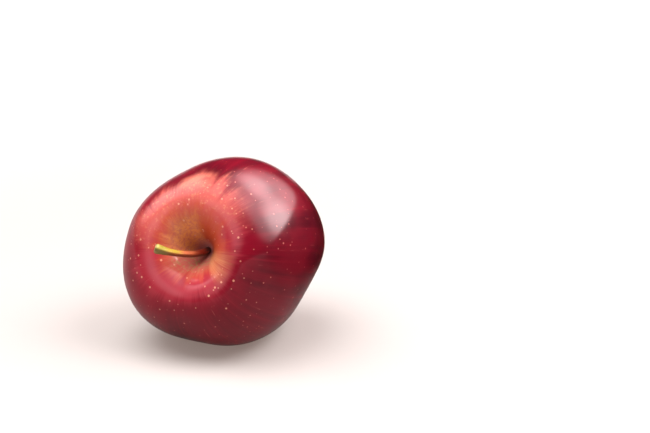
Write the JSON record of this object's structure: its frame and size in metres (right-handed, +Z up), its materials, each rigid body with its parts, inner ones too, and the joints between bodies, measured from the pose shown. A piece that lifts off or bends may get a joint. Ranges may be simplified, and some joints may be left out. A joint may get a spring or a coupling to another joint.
{
  "type": "apple",
  "caption": "Ribbed red apple lying on its side on a small flat spot, with a curved stem in its cavity and dried sepals and stamens in the calyx basin.",
  "frame": {"origin": "centre of the small flat spot that the apple rests on", "axes": "+Z up; the core's axis lies in the YZ plane with the stem end towards -Y, raised 19 degrees; the calyx is towards +Y"},
  "size_m": [0.0811, 0.0828, 0.0777],
  "materials": {
    "skin": "gloss",
    "stem": "satin",
    "sepal": "matte",
    "stamen": "matte"
  },
  "bodies": {
    "root": {"fruit": "skin", "stem": "stem", "sepal_1": "sepal", "sepal_2": "sepal", "sepal_3": "sepal", "sepal_4": "sepal", "sepal_5": "sepal", "stamen_1": "stamen", "stamen_2": "stamen", "stamen_3": "stamen", "stamen_4": "stamen", "stamen_5": "stamen", "stamen_6": "stamen", "stamen_7": "stamen", "stamen_8": "stamen", "stamen_9": "stamen", "stamen_10": "stamen"}
  },
  "joints": []
}
